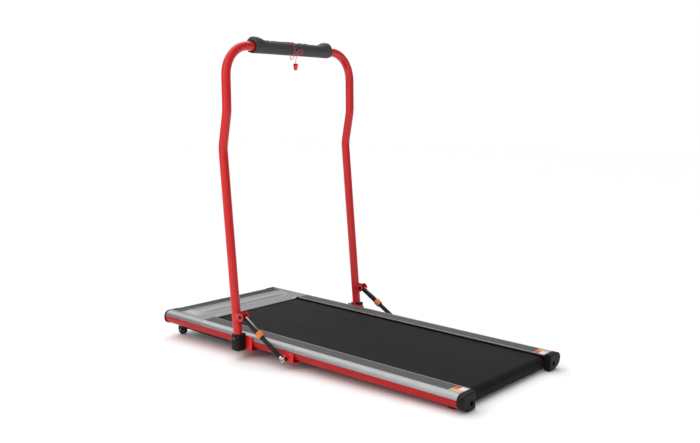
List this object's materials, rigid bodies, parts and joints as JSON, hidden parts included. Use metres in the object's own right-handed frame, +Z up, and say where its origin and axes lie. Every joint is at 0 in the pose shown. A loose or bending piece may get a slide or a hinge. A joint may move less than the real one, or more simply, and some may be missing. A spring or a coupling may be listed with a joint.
{
  "type": "walking pad treadmill",
  "caption": "Flat folding walking-pad treadmill with a low belted deck, silver and red side rails and a red U-shaped handrail with a grip console on a locking strut hinge.",
  "frame": {"origin": "centre of the overall footprint, on the floor", "axes": "+Y along the deck in the walking direction, towards the motor cover; +X to the user's right; +Z up"},
  "size_m": [0.6184, 1.1958, 0.989],
  "materials": {
    "rail_silver": "satin anodised",
    "red_paint": "gloss powder coat",
    "red_skirt": "satin powder coat",
    "strip_grey": "fine grained",
    "black_plastic": "fine grained",
    "belt_black": "fine diamond weave",
    "black_steel": "satin",
    "board": "waxed fibreboard",
    "rubber": "matt",
    "bright_steel": "turned",
    "zinc": "zinc plated",
    "cover_silver": "metallic silver",
    "trim_black": "gloss",
    "board_green": "solder mask",
    "wheel_black": "matt",
    "console_grey": "soft touch",
    "button_grey": "satin",
    "orange": "satin",
    "key_red": "gloss",
    "cord_red": "twisted cord"
  },
  "bodies": {
    "deck": {"side_rail_right": "rail_silver", "side_rail_left": "rail_silver", "rail_skirt_right": "red_skirt", "rail_skirt_left": "red_skirt", "foot_strip_right": "strip_grey", "foot_strip_left": "strip_grey", "rear_cap_right": "black_plastic", "rear_cap_left": "black_plastic", "front_caps": "black_plastic", "base_beams": "red_paint", "cross_members": "black_steel", "deck_board": "board", "deck_cushions": "rubber", "running_belt": "belt_black", "rear_roller_axle": "bright_steel", "front_roller_axle": "bright_steel", "tension_bolts": "zinc", "drive_belt": "rubber", "motor": "black_steel", "motor_bracket": "zinc", "control_board": "board_green", "motor_cover": "cover_silver", "front_panel": "trim_black", "belly_pan": "black_plastic", "pan_screws": "zinc", "power_inlet": "black_plastic", "wheel_brackets": "black_steel", "rear_feet": "rubber", "hinge_brackets": "red_paint", "strut_brackets": "red_paint", "hinge_studs": "zinc", "bracket_bolts": "black_steel"},
    "handrail": {"handrail_tube": "red_paint", "hinge_sleeves": "black_plastic", "strut_ears": "red_paint", "ear_bolts": "black_steel", "console_rear_shell": "console_grey", "console_front_shell": "console_grey", "console_panel": "trim_black", "console_board": "board_green"},
    "safety_key": {"safety_key": "key_red", "safety_cord": "cord_red", "key_clip": "key_red"},
    "front_roller": {"front_roller": "bright_steel", "drive_pulley": "bright_steel"},
    "rear_roller": {"rear_roller": "bright_steel"},
    "motor_rotor": {"motor_pulley": "bright_steel"},
    "power_rocker": {"power_rocker": "black_plastic"},
    "button_1": {"button_1": "button_grey"},
    "button_2": {"button_2": "button_grey"},
    "button_3": {"button_3": "button_grey"},
    "button_4": {"button_4": "button_grey"},
    "strut_upper_left": {"strut_shroud_left": "black_steel"},
    "strut_lower_left": {"strut_cylinder_left": "black_steel"},
    "collar_left": {"lock_collar_left": "orange"},
    "front_wheel_left": {"front_wheel_left": "wheel_black"},
    "strut_upper_right": {"strut_shroud_right": "black_steel"},
    "strut_lower_right": {"strut_cylinder_right": "black_steel"},
    "collar_right": {"lock_collar_right": "orange"},
    "front_wheel_right": {"front_wheel_right": "wheel_black"}
  },
  "joints": [
    {"name": "handrail_fold", "type": "hinge", "parent": "deck", "child": "handrail", "pos_m": [0, 0.20541, 0.06812], "axis": [1, 0, 0], "range_deg": [0, 90]},
    {"name": "strut_swing_left", "type": "hinge", "parent": "handrail", "child": "strut_upper_left", "pos_m": [-0.287, 0.1832, 0.13644], "axis": [1, 0, 0], "range_deg": [-116.44, 1]},
    {"name": "strut_slide_left", "type": "slide", "parent": "strut_upper_left", "child": "strut_lower_left", "axis": [0, 0.8482, 0.5296], "range_m": [-0.0005, 0.07605]},
    {"name": "lock_collar_left", "type": "slide", "parent": "strut_upper_left", "child": "collar_left", "axis": [0, 0.8482, 0.5296], "range_m": [0, 0.006], "stiffness_N_per_m": 250, "springref_m": -0.002},
    {"name": "front_wheel_spin_left", "type": "hinge", "parent": "deck", "child": "front_wheel_left", "pos_m": [-0.2065, 0.57622, 0.0175], "axis": [1, 0, 0], "continuous": true},
    {"name": "strut_swing_right", "type": "hinge", "parent": "handrail", "child": "strut_upper_right", "pos_m": [0.287, 0.1832, 0.13644], "axis": [1, 0, 0], "range_deg": [-116.44, 1]},
    {"name": "strut_slide_right", "type": "slide", "parent": "strut_upper_right", "child": "strut_lower_right", "axis": [0, 0.8482, 0.5296], "range_m": [-0.0005, 0.07605]},
    {"name": "lock_collar_right", "type": "slide", "parent": "strut_upper_right", "child": "collar_right", "axis": [0, 0.8482, 0.5296], "range_m": [0, 0.006], "stiffness_N_per_m": 250, "springref_m": -0.002},
    {"name": "front_wheel_spin_right", "type": "hinge", "parent": "deck", "child": "front_wheel_right", "pos_m": [0.2065, 0.57622, 0.0175], "axis": [1, 0, 0], "continuous": true},
    {"name": "front_roller_spin", "type": "hinge", "parent": "deck", "child": "front_roller", "pos_m": [0, 0.45193, 0.05563], "axis": [1, 0, 0], "continuous": true},
    {"name": "rear_roller_spin", "type": "hinge", "parent": "deck", "child": "rear_roller", "pos_m": [0, -0.55755, 0.0232], "axis": [1, 0, 0], "continuous": true},
    {"name": "motor_spin", "type": "hinge", "parent": "deck", "child": "motor_rotor", "pos_m": [-0.2079, 0.52298, 0.05531], "axis": [1, 0, 0], "continuous": true},
    {"name": "button_1_press", "type": "slide", "parent": "handrail", "child": "button_1", "axis": [0, 0.0321, -0.9995], "range_m": [0, 0.0012], "stiffness_N_per_m": 500, "springref_m": -0.0006},
    {"name": "button_2_press", "type": "slide", "parent": "handrail", "child": "button_2", "axis": [0, 0.0321, -0.9995], "range_m": [0, 0.0012], "stiffness_N_per_m": 500, "springref_m": -0.0006},
    {"name": "button_3_press", "type": "slide", "parent": "handrail", "child": "button_3", "axis": [0, 0.0321, -0.9995], "range_m": [0, 0.0012], "stiffness_N_per_m": 500, "springref_m": -0.0006},
    {"name": "button_4_press", "type": "slide", "parent": "handrail", "child": "button_4", "axis": [0, 0.0321, -0.9995], "range_m": [0, 0.0012], "stiffness_N_per_m": 500, "springref_m": -0.0006},
    {"name": "safety_key_pull", "type": "slide", "parent": "handrail", "child": "safety_key", "axis": [0, -0.0321, 0.9995], "range_m": [0, 0.008]},
    {"name": "power_rocker_tip", "type": "hinge", "parent": "deck", "child": "power_rocker", "pos_m": [0.185, 0.58819, 0.06541], "axis": [1, 0, 0], "range_deg": [0, 16]}
  ],
  "couplings": [
    {"joint": "strut_swing_left", "follows": "handrail_fold", "ratio": -1.2826},
    {"joint": "strut_slide_left", "follows": "handrail_fold", "m_per_rad": 0.047904},
    {"joint": "strut_swing_right", "follows": "handrail_fold", "ratio": -1.2826},
    {"joint": "strut_slide_right", "follows": "handrail_fold", "m_per_rad": 0.047904},
    {"joint": "rear_roller_spin", "follows": "front_roller_spin", "ratio": 1},
    {"joint": "motor_spin", "follows": "front_roller_spin", "ratio": 1.9167}
  ]
}
